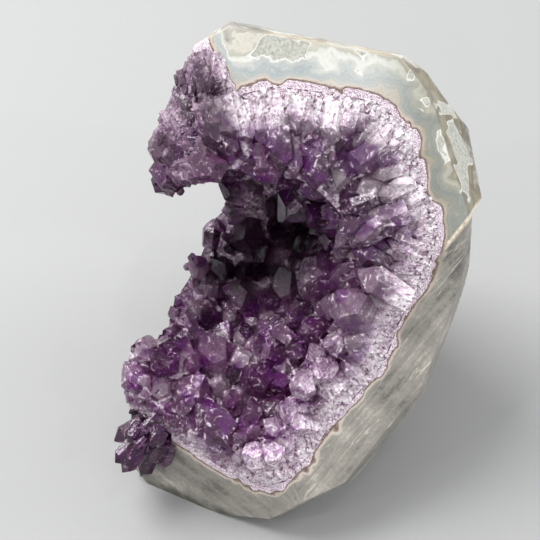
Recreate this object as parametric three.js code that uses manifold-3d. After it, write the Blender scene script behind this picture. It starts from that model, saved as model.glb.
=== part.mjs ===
// An amethyst geode cut open at the front and on one side, and stood on a sawn base.
// Two solids make it: the ground stone rind with its agate band, and the lining of quartz and
// amethyst crystals, which have grown together into one body.
//
// The stone is described in the mouth's own frame: X to the right across the mouth, Y up the cut
// face and Z straight out of the cave. A group then leans that frame back and stands it on its base.
// All lengths are millimetres and all angles are degrees.

import * as THREE from 'three';
import { mergeVertices } from 'three/addons/utils/BufferGeometryUtils.js';
import Module from 'manifold-3d';

const wasm = await Module();
wasm.setup();

// ---------------------------------------------------------------- driving dimensions

const MOUTH_RISE = 50; // how far the mouth's axis points above the horizon
const BASE_DROP = 84; // from the mouth frame's origin straight down to the sawn base
const STAND_SHIFT = [1.9, -3.65]; // centres the stone's box over the origin

// Flat cuts through the stone: [turn round the mouth's axis, lean towards the mouth, distance out].
const FRONT_CUT = [-63, 77, 14.5];
const SIDE_CUT = [170, -12, 58.5];
const FOOT_CUT = [231, 50, 42];
const SHOULDER_CUT = [122, -45, 67];
const MIDDLE = [90, 0, 0]; // everything above the middle of the mouth
const ARCH_END_CUT = [190, 44, 35.5]; // made above the middle only

// Facets ground round the outside. Each row is one edge of the outline seen along the mouth's axis:
// [turn, distance out, depth of the edge, lean of the facet before it, lean of the facet behind it].
const OUTLINE = [
  [79, 85, 12, 18, -30],
  [48, 86, 8, 20, -24],
  [33, 83, 0, 25, -32],
  [11, 73, 0, 35, -26],
  [-12, 63, -3, 24, -20],
  [-22, 62.5, -8, 21, -16],
  [-40, 69, -12, 25, -14],
  [-65, 85, -18, 15, -12],
  [-95, 101, -25, 12, -17],
  [-120, 110, -32, 8, -18],
  [-150, 101, -30, 10, -30],
  [122, 93, 5, 15, -28],
  [156, 71, 5, 12, -25],
];

// Facets on the rounded back: leans of the two rows, their distance out, and the flat that ends them.
const BACK_FACETS = 8;
const BACK_LEAN = -57;
const BACK_REACH = 95;
const BACK_END = 92;

// The cavity that the rind surrounds: its radius at every 15 degrees round the mouth's axis.
const CAVITY_CENTRE = new THREE.Vector3(-10, 0, -10);
const CAVITY_RADII = [
  58, 64.5, 63, 72, 74, 69, 67, 66, 72, 76, 82, 92,
  100, 97, 90, 80, 77, 79, 83, 68, 59, 54.5, 52, 52.5,
];
const CAVITY_DEPTH = 68; // from its centre to the back wall
const CAVITY_FLARE = 120; // the same half-axis towards the mouth, long because the mouth is open
const CAVITY_SLANT = [-0.25, 0.3]; // how far the back drifts left and up for each mm of depth
const CAVITY_POWER = 1.7; // 2 would round the walls, less makes them slope more evenly
// Towards the open end of the arch the quartz swells almost to the outside, in front of the centre
// only: the turns between which it rises and falls back, and its height.
const ARCH_END_SWELL = { rise: [102, 107], fall: [117, 128], height: 23 };
const CAVITY_DETAIL = 7;
const WAVE_HEIGHT = 1.1; // ripple of the surface where the agate meets the quartz
const JOINT_GAP = 0.3; // between the rind and the lining

// The hollow inside the crystal lining is three ellipsoids run together: a wide shallow bowl behind
// the mouth, a deep pocket behind it at the upper left, and a bay under the left end of the arch.
const HOLLOWS = [
  { centre: [-28, -15, 10], radii: [50, 60, 30], roll: -20, crystals: 240, tilt: 0.55 },
  { centre: [-30, 4, -24], radii: [50, 38, 38], roll: 40, crystals: 170, tilt: 0.45 },
  { centre: [-72, 7, 10], radii: [28, 49, 42], roll: 0, crystals: 150, tilt: 0.5 },
];
const HOLLOW_DETAIL = 4;

// The ground slab at the lower right stands a little lower than the agate beside it.
const LEDGE_START = [-39, 0, 36.3];
const LEDGE_FACE = [-63, 77, 13];
const LEDGE_SIDE = [3, 0, 65];

const CRYSTAL_SEED = 7;
const CRYSTAL_RADIUS = [4.6, 10]; // smallest and largest, to the corners of the six sides
const CRYSTAL_ROOT = 5; // how far its foot is sunk into the quartz
// The lump of crystals left on the lower left corner, rooted in the lining behind the rind's edge,
// as [foot, direction, radius, length].
const CORNER_CRYSTALS = [
  [[-53, -58, -16], [-0.6, -0.78, -0.1], 6.5, 28],
  [[-54, -54, -16], [-0.85, -0.6, 0], 6, 23],
  [[-50, -60, -18], [-0.5, -0.85, -0.2], 6.5, 27],
  [[-55, -56, -8], [-0.65, -0.75, 0.2], 5.5, 24],
];
const GRID = 0.01; // step of the grid that the finished crystals' corners are rounded to
const STOCK = 400; // side of the block that each saw cut removes

// ---------------------------------------------------------------- helpers

const rad = THREE.MathUtils.degToRad;
const { smoothstep } = THREE.MathUtils;

// Repeatable random numbers from 0 to 1.
function randomSource(seed) {
  let state = seed >>> 0;
  return () => {
    state = (Math.imul(state, 1664525) + 1013904223) >>> 0;
    return state / 4294967296;
  };
}

// The unit vector at a turn round the mouth's axis and a lean towards the mouth.
function direction(turn, lean) {
  return new THREE.Vector3(
    Math.cos(rad(lean)) * Math.cos(rad(turn)),
    Math.cos(rad(lean)) * Math.sin(rad(turn)),
    Math.sin(rad(lean)),
  );
}

function toSolid(geometry) {
  const bare = geometry.clone();
  bare.deleteAttribute('normal');
  bare.deleteAttribute('uv');
  const merged = mergeVertices(bare, 1e-4);
  return new wasm.Manifold(new wasm.Mesh({
    numProp: 3,
    vertProperties: merged.attributes.position.array,
    triVerts: new Uint32Array(merged.index.array),
  }));
}

function toGeometry(solid) {
  const mesh = solid.getMesh();
  const geometry = new THREE.BufferGeometry();
  geometry.setAttribute('position', new THREE.BufferAttribute(mesh.vertProperties, 3));
  geometry.setIndex(new THREE.BufferAttribute(mesh.triVerts, 1));
  geometry.computeVertexNormals();
  return geometry;
}

// A block that holds everything beyond the plane given as [turn, lean, distance out].
function beyondPlane([turn, lean, distance]) {
  const normal = direction(turn, lean);
  const block = new THREE.BoxGeometry(STOCK, STOCK, STOCK);
  block.applyQuaternion(new THREE.Quaternion().setFromUnitVectors(new THREE.Vector3(0, 0, 1), normal));
  const centre = normal.multiplyScalar(distance + STOCK / 2);
  block.translate(centre.x, centre.y, centre.z);
  return toSolid(block);
}

const saw = (solid, plane) => solid.subtract(beyondPlane(plane));

// The same cut, made only where the stone is also beyond a second plane.
const sawWithin = (solid, plane, limit) =>
  solid.subtract(beyondPlane(plane).intersect(beyondPlane(limit)));

// ---------------------------------------------------------------- the outside of the stone

function cutFaces(solid) {
  return sawWithin(saw(saw(solid, FRONT_CUT), SIDE_CUT), ARCH_END_CUT, MIDDLE);
}

function groundBody() {
  let body = toSolid(new THREE.BoxGeometry(STOCK, STOCK, STOCK));
  for (const [turn, distance, depth, before, behind] of OUTLINE) {
    for (const lean of [before, behind]) {
      body = saw(body, [turn, lean, distance * Math.cos(rad(lean)) + depth * Math.sin(rad(lean))]);
    }
  }
  for (let i = 0; i < BACK_FACETS; i++) {
    const turn = (360 * (i + 0.3)) / BACK_FACETS;
    const uneven = 3 * Math.cos(rad(turn * 3 + 40));
    body = saw(body, [turn, BACK_LEAN + uneven, BACK_REACH + uneven]);
  }
  body = saw(body, [0, -90, BACK_END]);
  body = saw(body, FOOT_CUT);
  body = saw(body, SHOULDER_CUT);
  body = sawWithin(body, LEDGE_FACE, LEDGE_START);
  body = sawWithin(body, LEDGE_SIDE, LEDGE_START);
  return saw(body, [-90, -MOUTH_RISE, BASE_DROP]);
}

// ---------------------------------------------------------------- the cavity

// The cavity's radius across the mouth at a turn in degrees, as a smooth closed curve.
function cavityRadius(turn) {
  const count = CAVITY_RADII.length;
  const place = ((((turn % 360) + 360) % 360) / 360) * count;
  const i = Math.floor(place);
  const t = place - i;
  const [a, b, c, d] = [-1, 0, 1, 2].map((k) => CAVITY_RADII[(i + k + count) % count]);
  return b + 0.5 * t * (c - a + t * (2 * a - 5 * b + 4 * c - d + t * (3 * (b - c) + d - a)));
}

// How far the cavity swells at a turn in degrees and a height towards the mouth from 0 to 1.
function archEndSwell(turn, height) {
  const { rise, fall } = ARCH_END_SWELL;
  const along = smoothstep(turn, ...rise) * (1 - smoothstep(turn, ...fall));
  return ARCH_END_SWELL.height * along * smoothstep(height, 0, 0.3);
}

// The point of the cavity's wall in a direction from its centre, brought in by `inset`.
function wallPoint(way, inset) {
  const turn = (Math.atan2(way.y, way.x) * 180) / Math.PI;
  const across = cavityRadius(turn) + archEndSwell(turn, way.z) - inset;
  const along = way.z < 0 ? CAVITY_DEPTH - inset : CAVITY_FLARE;
  const power = way.z < 0 ? CAVITY_POWER : 2;
  const flat = Math.hypot(way.x, way.y);
  const smooth = ((flat / across) ** power + (Math.abs(way.z) / along) ** power) ** (-1 / power);
  const ripple = Math.sin(9 * way.x + 2) * Math.cos(8 * way.y) + Math.sin(11 * way.y + 7 * way.z);
  const point = way.clone().multiplyScalar(smooth + WAVE_HEIGHT * ripple);
  const behind = Math.max(0, -point.z);
  point.x += CAVITY_SLANT[0] * behind;
  point.y += CAVITY_SLANT[1] * behind;
  return point.add(CAVITY_CENTRE);
}

function cavitySolid(inset) {
  const ball = new THREE.IcosahedronGeometry(1, CAVITY_DETAIL);
  const points = ball.attributes.position;
  const way = new THREE.Vector3();
  for (let i = 0; i < points.count; i++) {
    way.fromBufferAttribute(points, i).normalize();
    points.setXYZ(i, ...wallPoint(way, inset));
  }
  return toSolid(ball);
}

function hollowMatrix({ centre, radii, roll }) {
  const turn = new THREE.Quaternion().setFromAxisAngle(new THREE.Vector3(0, 0, 1), rad(roll));
  return new THREE.Matrix4().compose(new THREE.Vector3(...centre), turn, new THREE.Vector3(...radii));
}

function hollowSolid(hollow) {
  return toSolid(new THREE.IcosahedronGeometry(1, HOLLOW_DETAIL).applyMatrix4(hollowMatrix(hollow)));
}

// ---------------------------------------------------------------- crystals

// One amethyst crystal along +Z: a six-sided prism with a six-sided point, foot at the origin.
function crystalGeometry(radius, length, skew) {
  const point = radius * 1.15;
  const profile = [[0, 0], [radius * 0.8, 0], [radius, length - point], [0, length]];
  const shape = new THREE.LatheGeometry(profile.map(([x, y]) => new THREE.Vector2(x, y)), 6);
  shape.rotateX(Math.PI / 2);
  shape.scale(1, skew, 1);
  return shape;
}

// Even points over a unit ball, by the golden angle.
function spiralDirection(i, count) {
  const height = 1 - (2 * (i + 0.5)) / count;
  const flat = Math.sqrt(1 - height * height);
  const angle = i * Math.PI * (3 - Math.sqrt(5));
  return new THREE.Vector3(flat * Math.cos(angle), flat * Math.sin(angle), height);
}

// How far out of a hollow a point lies: 1 is on its wall.
const outOf = (hollow, point) => point.clone().applyMatrix4(hollowMatrix(hollow).invert()).length();

// How far a point stands beyond a plane.
const beyond = (point, [turn, lean, distance]) => point.dot(direction(turn, lean)) - distance;

// How far a point stands in front of the stone's open faces.
function inFront(point) {
  const arch = beyond(point, MIDDLE) > 0 ? beyond(point, ARCH_END_CUT) : -Infinity;
  return Math.max(beyond(point, FRONT_CUT), arch);
}

// True where a crystal's foot sits inside the lining and its tip stays near the open faces.
function hasRoom(wall, foot, tip, ownHollow) {
  const others = HOLLOWS.filter((hollow) => hollow !== ownHollow);
  if (others.some((hollow) => outOf(hollow, wall) < 0.95)) return false;
  const wayOut = foot.clone().sub(CAVITY_CENTRE);
  wayOut.x -= CAVITY_SLANT[0] * Math.max(0, -wayOut.z);
  wayOut.y -= CAVITY_SLANT[1] * Math.max(0, -wayOut.z);
  const reach = wallPoint(wayOut.clone().normalize(), 0).distanceTo(CAVITY_CENTRE);
  if (foot.distanceTo(CAVITY_CENTRE) > reach - 2) return false;
  if ([SHOULDER_CUT, FOOT_CUT, SIDE_CUT].some((face) => beyond(foot, face) > -2)) return false;
  return inFront(foot) < -2 && inFront(tip) < 6 && beyond(tip, SIDE_CUT) < 3;
}

function grownCrystal(foot, aim, radius, length, twist) {
  const shape = crystalGeometry(radius, length, 0.82 + 0.3 * twist);
  shape.rotateZ(twist * Math.PI);
  shape.applyQuaternion(new THREE.Quaternion().setFromUnitVectors(new THREE.Vector3(0, 0, 1), aim));
  shape.translate(foot.x, foot.y, foot.z);
  return toSolid(shape);
}

// Crystals standing on the wall of one hollow, each leaning its own way.
function crystalsOn(hollow, random) {
  const [least, most] = CRYSTAL_RADIUS;
  const place = hollowMatrix(hollow);
  const slope = place.clone().invert().transpose();
  const made = [];
  for (let i = 0; i < hollow.crystals; i++) {
    const [a, b, c, d, e, twist] = Array.from({ length: 6 }, random);
    const way = spiralDirection(i, hollow.crystals);
    const wall = way.clone().applyMatrix4(place);
    const jitter = new THREE.Vector3(a - 0.5, b - 0.5, c - 0.5).multiplyScalar(2 * hollow.tilt);
    const aim = way.transformDirection(slope).negate().add(jitter).normalize();
    const radius = least + (most - least) * d * d;
    const length = CRYSTAL_ROOT + radius * (1.15 + 0.75 * e);
    const foot = wall.clone().addScaledVector(aim, -CRYSTAL_ROOT);
    const tip = foot.clone().addScaledVector(aim, length);
    if (hasRoom(wall, foot, tip, hollow)) made.push(grownCrystal(foot, aim, radius, length, twist));
  }
  return made;
}

function crystalsOnWalls() {
  const random = randomSource(CRYSTAL_SEED);
  return HOLLOWS.flatMap((hollow) => crystalsOn(hollow, random));
}

function crystalsAtCorner(gap = 0) {
  return CORNER_CRYSTALS.map(([foot, aim, radius, length]) => {
    const way = new THREE.Vector3(...aim).normalize();
    return grownCrystal(new THREE.Vector3(...foot), way, radius + gap, length + 2 * gap, 0.4);
  });
}

// ---------------------------------------------------------------- the two pieces

// The largest single body of a solid, without loose chips and without pockets sealed inside it.
const mainBody = (solid) => solid.decompose().reduce((a, b) => (a.volume() > b.volume() ? a : b));

// The same solid with its corners rounded to a grid, so that no two lie closer than its step.
function onGrid(solid) {
  const geometry = toGeometry(solid);
  const { array } = geometry.attributes.position;
  array.forEach((value, i) => { array[i] = Math.round(value / GRID) * GRID; });
  return toSolid(geometry);
}

const without = (solid, others) => others.reduce((rest, other) => rest.subtract(other), solid);

function rindSolid(outside) {
  return mainBody(without(cutFaces(outside), [cavitySolid(0), ...crystalsAtCorner(2 * JOINT_GAP)]));
}

function crystalLining(outside) {
  const quartz = cutFaces(cavitySolid(JOINT_GAP).intersect(outside));
  const crystals = [...crystalsOnWalls(), ...crystalsAtCorner()];
  const grown = crystals.reduce((all, one) => all.add(one), without(quartz, HOLLOWS.map(hollowSolid)));
  return mainBody(onGrid(grown));
}

const outside = groundBody();
const rind = rindSolid(outside);
const crystals = crystalLining(outside);

function piece(name, solid, color, roughness) {
  const material = new THREE.MeshStandardMaterial({ color, roughness, metalness: 0 });
  const mesh = new THREE.Mesh(toGeometry(solid), material);
  mesh.name = name;
  return mesh;
}

const leaning = new THREE.Group();
leaning.rotation.x = rad(90 - MOUTH_RISE);
leaning.add(piece('rind', rind, 0x8f938c, 0.5));
leaning.add(piece('amethyst_crystals', crystals, 0x6a4585, 0.15));

const geode = new THREE.Group();
geode.add(leaning);
leaning.position.set(...STAND_SHIFT, BASE_DROP);

export default geode;
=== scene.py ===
"""Looks of the amethyst geode: a crystal lining in a ground agate and basalt rind.

The stone is described in the mouth's own frame, in millimetres: X to the right across the mouth,
Y up the cut face and Z straight out of the cave. Planes are [turn, lean, distance out] in degrees
and millimetres. The finished meshes are moved into the frame's metres at the end.
"""

import itertools
import math

import bmesh
import bpy
import numpy as np
from mathutils import Matrix, Vector, noise


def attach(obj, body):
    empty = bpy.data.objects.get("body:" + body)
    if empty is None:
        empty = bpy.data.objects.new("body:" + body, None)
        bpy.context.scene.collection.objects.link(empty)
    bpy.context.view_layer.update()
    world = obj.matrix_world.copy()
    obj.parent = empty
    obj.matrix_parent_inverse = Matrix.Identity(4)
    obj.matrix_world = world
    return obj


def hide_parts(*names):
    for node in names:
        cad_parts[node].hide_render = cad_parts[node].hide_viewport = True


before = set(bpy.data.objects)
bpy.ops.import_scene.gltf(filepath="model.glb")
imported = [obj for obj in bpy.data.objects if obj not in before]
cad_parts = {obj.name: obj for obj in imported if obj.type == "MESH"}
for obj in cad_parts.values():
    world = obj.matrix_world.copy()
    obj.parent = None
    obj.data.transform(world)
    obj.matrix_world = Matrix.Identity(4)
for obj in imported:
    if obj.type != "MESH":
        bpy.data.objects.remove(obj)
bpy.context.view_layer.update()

# -------- dimensions of the stone

MOUTH_RISE = 50
BASE_DROP = 84
STAND_SHIFT = (1.9, -3.65)

# Planes that cut the stone. The arch's end is cut only above the middle plane.
FRONT_CUT = (-63, 77, 14.5)
SIDE_CUT = (170, -12, 58.5)
FOOT_CUT = (231, 50, 42)
SHOULDER_CUT = (122, -45, 67)
MIDDLE = (90, 0, 0)
ARCH_END_CUT = (190, 44, 35.5)

# The ground edge: turn, distance out, depth, and the lean of the facets before and behind it.
OUTLINE = [
    (79, 85, 12, 18, -30), (48, 86, 8, 20, -24), (33, 83, 0, 25, -32), (11, 73, 0, 35, -26),
    (-12, 63, -3, 24, -20), (-22, 62.5, -8, 21, -16), (-40, 69, -12, 25, -14),
    (-65, 85, -18, 15, -12), (-95, 101, -25, 12, -17), (-120, 110, -32, 8, -18),
    (-150, 101, -30, 10, -30), (122, 93, 5, 15, -28), (156, 71, 5, 12, -25),
]
BACK_FACETS = 8
BACK_LEAN = -57
BACK_REACH = 95
BACK_END = 92
BACK_UNEVEN = 3

# The cave's wall: its radius every 15 degrees round the mouth, and its shape front to back.
CAVITY_CENTRE = np.array([-10.0, 0.0, -10.0])
CAVITY_RADII = np.array([
    58, 64.5, 63, 72, 74, 69, 67, 66, 72, 76, 82, 92,
    100, 97, 90, 80, 77, 79, 83, 68, 59, 54.5, 52, 52.5,
])
CAVITY_DEPTH = 68
CAVITY_FLARE = 120
CAVITY_SLANT = (-0.25, 0.3)
CAVITY_POWER = 1.7
ARCH_END_SWELL = ((102, 107), (117, 128), 23)
WAVE_HEIGHT = 1.1
JOINT_GAP = 0.3

# Ellipsoids that make the hollow: centre, radii, roll, crystals and how unevenly those lean.
HOLLOWS = [
    ((-28, -15, 10), (50, 60, 30), -20, 240, 0.55),
    ((-30, 4, -24), (50, 38, 38), 40, 170, 0.45),
    ((-72, 7, 10), (28, 49, 42), 0, 150, 0.5),
]

# Crystals. A stretch here is the least length past the root, in radii, and how much more.
CRYSTAL_SEED = 7
CRYSTAL_RADIUS = (4.6, 10)
CRYSTAL_ROOT = 5
CRYSTAL_STRETCH = (1.15, 0.75)
SMALL_PER_LARGE = 2.6
SMALL_RADIUS = (1.7, 4.4)
SMALL_ROOT = 3
SMALL_STRETCH = (1.3, 1.2)
ROOT_COVER = 2
MOST_PROUD = 6
OTHER_HOLLOW = 0.95  # no crystal stands inside this share of another hollow
PRISM_TAPER = 4
PRISM_UNEVEN = (0.84, 1.14)
POINT_LEAN = 38.2  # the six faces of a quartz point rise this far from the prism's own faces
FLAT_SHARE = 0.866  # how far a hexagon's side is from its middle, as a share of its radius
LARGE_FACE_LAG = (0, 0.1)
SMALL_FACE_LAG = (0.03, 0.42)
FACES = 13
NEARLY_NONE = 1e-6
# Crystals that hang under the arch stand less far out.
UNDER_ARCH = {"shorter": 0.3, "y": (18, 34), "down": (0.2, -0.5)}

# Side crystals, as shares of the large crystal that they lean on.
BESIDE_SIZE = (0.25, 0.5)
BESIDE_DOWN = (0.3, 0.65)
BESIDE_OUT = (0.7, 1.0)
BESIDE_STRETCH = (1.8, 2.8)
BESIDE_LEAN = (0.02, 0.3)
BESIDE_UNEVEN = 0.2
BESIDE_PROUD = 5

# The comb of quartz on the sawn faces: thin beside the agate, wide beside the cave.
COMB_PER_MM2 = 1.2
COMB_SPACING = 0.45
COMB_RADIUS = (0.8, 5.8)
COMB_START = 0.75
COMB_WIDENING = 0.3
COMB_UNEVEN = (0.75, 1.25)
COMB_STRETCH = (1.5, 2.1)
COMB_LIFT = (0.05, 0.5)
COMB_REACH = (0.25, 0.5)
COMB_PROUD = (-0.2, 0.35)
COMB_LEAST_DEPTH = 0.4
# How the comb changes with depth: by how much, and between which depths.
COMB_CHANGES = {
    "steadier": (0.8, 2, 10), "longer": (1.2, 3, 12), "held back": (0.25, 10, 18),
    "sunk": (0.35, 7, 1),
}
COMB_LOOSE = 1.3
LOW_COMB = (0, -30)
LOW_COMB_LIFT = 0.5
ON_FACE = 0.05
# On the arch's sawn end the comb is thinner, flatter and deeper in.
ARCH_END_RISE = (26, 42)
ARCH_END_THINNER = 0.5
ARCH_END_FLATTER = 0.8
ARCH_END_SUNK = 0.75

# The crystals left on the lower left corner: foot, aim, radius and length.
CORNER_CRYSTALS = [
    ((-53, -58, -16), (-0.6, -0.78, -0.1), 6.5, 28),
    ((-54, -54, -16), (-0.85, -0.6, 0), 6, 23),
    ((-50, -60, -18), (-0.5, -0.85, -0.2), 6.5, 27),
    ((-55, -56, -8), (-0.65, -0.75, 0.2), 5.5, 24),
]
CORNER_THINNER = 0.65
CORNER_BESIDE = 1.1
CORNER_TONE = 0.2
CORNER_MILK = -1  # below 0, it marks the corner's crystals for the material
CORNER_RIGHT_END = -53
MOST_ON_CORNER = 30
# The pale row at the lower right: its first foot, its last foot and how many crystals.
PROUD_ROW = ((17, -24, 5), (-14, -74, -2), 17)
PROUD_SHIFT = (-0.4, 0.4)
PROUD_SCATTER = 5
PROUD_AIM = np.array((-0.3, 0.25, 0.8))
PROUD_AIM_UNEVEN = 0.9
PROUD_RADIUS = (3.4, 6.0)
PROUD_STRETCH = (2.2, 3.0)
PROUD_OUT = (0.55, 0.75)
PROUD_TONES = (0.5, 0.9)
PROUD_MILK = 0.4
BESIDE_PROUD_MILK = 0.3

# The lower slab, which stands a little below the agate.
LEDGE_START = (-39, 0, 36.3)
LEDGE_FACE = (-63, 77, 13)
LEDGE_SIDE = (3, 0, 65)
STOCK = 400
REMESH_DEPTH = 7
REMESH_SHARE = 0.95
CREASE_ANGLE = 28
# How rough the rind is: lumps, grains, and how much of both.
LUMP_HEIGHT = 0.5
LUMP_SCALE = 0.12
GRAIN_HEIGHT = 0.2
GRAIN_SCALE = 0.9
ROUGH_EVERYWHERE = 0.12
ROUGH_OUTSIDE = 0.9
ROUGH_FROM = (1, 4)
CRUST_FROM = (3, 8)
ABOVE_BASE = (0.5, 4)

# Zones that the materials need. A pair in a zone is the start and end of a smooth step, in
# millimetres, and "deeper" is how much deeper the quartz counts there.
# Painted shade: the far wall under the arch is coloured darker and less milky, as its real shade
# would make it.
FAR_WALL_SHADE = {"x": (-26, -36), "rise": (-36, -24), "fall": (24, 14), "deeper": 22}
FOOT_SIDE = {"x": (-14, -30), "y": (-34, -46), "deeper": 7}
CORNER_DEPTH = 30
ARCH_SHADE = {"x": (-22, -34), "y": (15, 30)}
# Painted shade: deep in the cave the crystals are coloured near black, where the hollow's own
# shade falls.
VOID_SHADE_AXIS = (-18, 20)  # where the black depth of the cave is centred
VOID_SHADE_ZONE = {"z": (14, -14), "off_axis": (40, 22), "from_back": (-2, 6), "x": (-62, -44)}
FIBRE_STRETCH = (80, 0.16, 0.6)
GRAIN_STRETCH = (1, 0.07, 0.8)
FOOT_GRAIN_SHARE = 0.1
FOOT_FACE = (-3, -0.5)
LOW_PART = (-28, -40)
# Where painted shade darkens the agate on the right side.
RIGHT_SHADE_PART = (22, 46)
# Steps in the share by which a face looks straight out of the cave.
TURNED_AWAY = (0.15, -0.1)
CHAMFER = (0.9, 0.6)

# -------- colours, as sRGB from 0 to 255

PURPLES = [(0.22, (48, 19, 46)), (0.38, (131, 83, 126)), (0.52, (187, 145, 181)),
           (0.68, (238, 220, 232))]
MILKY_QUARTZ = [(0.32, (130, 98, 124)), (0.46, (220, 202, 214)), (0.6, (255, 250, 252))]
VIVID_PURPLE = (150, 68, 164)
VOID_SHADE_BLACK = (12, 5, 12)
CLOUD_WHITE = (244, 234, 242)
LILAC = (186, 152, 190)
# Multiplied in for the painted shade of the far wall and the darker purple of the arch and the
# corner's crystals.
SHADED_PURPLE = (150, 128, 146)
QUARTZ_IOR = 1.544
ABSORPTION = (0.74, 0.44, 0.7, 1)
ABSORPTION_DENSITY = 75.0
MILKY_DEPTH = (18, 1.5)

AGATE_WIDTH = 20
AGATE_BANDS = [
    (0.0, (196, 186, 176)), (0.03, (214, 206, 196)), (0.09, (190, 190, 182)),
    (0.15, (188, 193, 195)), (0.24, (178, 186, 189)), (0.36, (200, 204, 203)),
    (0.44, (214, 214, 208)), (0.5, (238, 238, 233)), (0.6, (226, 226, 220)),
    (0.66, (190, 190, 181)), (0.74, (206, 200, 184)), (0.82, (228, 224, 214)),
    (0.9, (186, 178, 166)), (1.0, (160, 158, 150)),
]
AGATE_LINE = (244, 243, 238)
AGATE_HAZE = (240, 240, 235)
RIGHT_PAINTED_SHADE = (184, 181, 168)
AGATE_GREY = (222, 222, 220)
CHAMFER_TAN = (212, 204, 188)
WINDOW_RIM = (236, 236, 231)
WINDOW_GREYS = [(0.35, (150, 150, 142)), (0.6, (186, 186, 178))]
BASALT_GREYS = [(0.38, (92, 89, 85)), (0.46, (131, 128, 122)), (0.54, (148, 144, 137)),
                (0.64, (186, 182, 174))]
VEIN_CREAM = (206, 200, 186)
# Painted highlight along the lower slab's edge.
SLAB_EDGE_HIGHLIGHT = (214, 204, 186)
SEAM_REACH = (0.1, 2.5)
SEAM_BLUSH = (206, 188, 178)
SEAM_BROWN = (98, 80, 70)
SEAM_QUARTZ = [(0.38, (116, 96, 110)), (0.48, (186, 168, 180)), (0.6, (236, 226, 232))]
# Colour that darkens the stone towards the base.
DARK_NEAR_BASE = (66, 68, 60)
CRUST_GREYS = [(0.3, (94, 92, 84)), (0.5, (136, 133, 123)), (0.7, (176, 171, 158))]

# -------- noise textures: scale, detail, roughness and distortion

VEILS = (0.34, 7, 0.72, 0.9)
FINE_QUARTZ = (1.7, 4, 0.7)
DEPTH_WARP = (0.09, 3)
VIVID_PATCHES = (0.12, 3, 0.5)
FIBRES = (0.8, 5, 0.7)
GROWTH_LINES = (1.0, 3, 0.6)
FLAKE_SCALE = 1.15
FLAW_SCALE = 0.42

STONE_BROAD = (0.05, 2)
STONE_WAVES = (0.09, 4, 0.55)
STONE_FINE = (0.9, 4, 0.65)
STONE_PITS = (1.3, 6, 0.7)
SUGAR = (2.2, 3, 0.7)
SCALLOPS = (0.1, 3, 0.45)
WINDOWS = (0.075, 2, 0.4, 0.6)
STREAKS = (0.5, 8, 0.66, 0.3)
SPECKLE = (0.6, 6, 0.75)
VEINS = (0.09, 4, 0.55, 0.4)
CRUST = (0.25, 6, 0.7)

# -------- the studio, in metres

FLOOR_GREY = (145, 145, 145)
FLOOR_ROUGHNESS = 0.7
FLOOR_SIZE = 60
SKY = (0.98, 0.99, 1.0, 1)
SKY_STRENGTH = 0.84
LIGHTS_AIM = Vector((0, 0, 0.07))
# Square soft lights: name, place, side and power.
LIGHTS = [
    ("key", (-0.7, 0.45, 1.3), 0.9, 28), ("right", (1.3, 0.3, 0.8), 0.6, 7),
    ("glint", (0.3, -0.2, 1.6), 0.05, 1.1), ("glint", (-0.9, -0.5, 1.0), 0.05, 1.1),
    ("glint", (0.8, -0.7, 1.1), 0.05, 1.1), ("glint", (-0.2, -1.3, 0.8), 0.05, 1.1),
]
EYE = Vector((-11.4, 0, 400))  # in the mouth's own frame, in millimetres
LENS = 70.17
SENSOR = 36

# -------- small helpers

# From the mouth's own frame to the frame's metres, and back.
to_metres = (
    Matrix.Scale(0.001, 4)
    @ Matrix.Translation((*STAND_SHIFT, BASE_DROP))
    @ Matrix.Rotation(math.radians(90 - MOUTH_RISE), 4, "X")
)
to_mouth = to_metres.inverted()


class Dice:
    """Repeatable random numbers from 0 to 1."""

    def __init__(self, seed):
        self.state = seed

    def __call__(self):
        self.state = (self.state * 1664525 + 1013904223) % 4294967296
        return self.state / 4294967296

    def span(self, low, high):
        return low + (high - low) * self()

    def vector(self):
        return np.array([self(), self(), self()]) - 0.5


def direction(turn, lean):
    turn, lean = math.radians(turn), math.radians(lean)
    flat = math.cos(lean)
    return np.array([flat * math.cos(turn), flat * math.sin(turn), math.sin(lean)])


def unit(vector):
    return vector / np.linalg.norm(vector)


def beyond(point, plane):
    return float(np.dot(point, direction(*plane[:2]))) - plane[2]


def smoothstep(low, high, value):
    t = np.clip((value - low) / (high - low), 0, 1)
    return t * t * (3 - 2 * t)


def coordinates(mesh):
    points = np.empty(len(mesh.vertices) * 3)
    mesh.vertices.foreach_get("co", points)
    return points.reshape(-1, 3)


def show(thing):
    bpy.context.scene.collection.objects.link(thing)


def moved(points, matrix):
    matrix = np.array(matrix)
    return points @ matrix[:3, :3].T + matrix[:3, 3]


# -------- the cavity's wall

def cavity_radius(turn):
    count = len(CAVITY_RADII)
    place = np.mod(turn, 360) / 360 * count
    i = np.floor(place).astype(int)
    t = place - i
    a, b, c, d = (CAVITY_RADII[(i + k) % count] for k in (-1, 0, 1, 2))
    return b + 0.5 * t * (c - a + t * (2 * a - 5 * b + 4 * c - d + t * (3 * (b - c) + d - a)))


def arch_end_swell(turn, height):
    rise, fall, most = ARCH_END_SWELL
    share = smoothstep(*rise, turn) * (1 - smoothstep(*fall, turn))
    return most * share * smoothstep(0, 0.3, height)


def wall_reach(way, inset=0):
    """How far the cavity's wall lies from its centre in each direction, before it slants."""
    x, y, z = way.T
    turn = np.degrees(np.arctan2(y, x))
    across = cavity_radius(turn) + arch_end_swell(turn, z) - inset
    along = np.where(z < 0, CAVITY_DEPTH - inset, CAVITY_FLARE)
    power = np.where(z < 0, CAVITY_POWER, 2.0)
    smooth = ((np.hypot(x, y) / across) ** power + (np.abs(z) / along) ** power) ** (-1 / power)
    ripple = np.sin(9 * x + 2) * np.cos(8 * y) + np.sin(11 * y + 7 * z)
    return smooth + WAVE_HEIGHT * ripple


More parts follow.
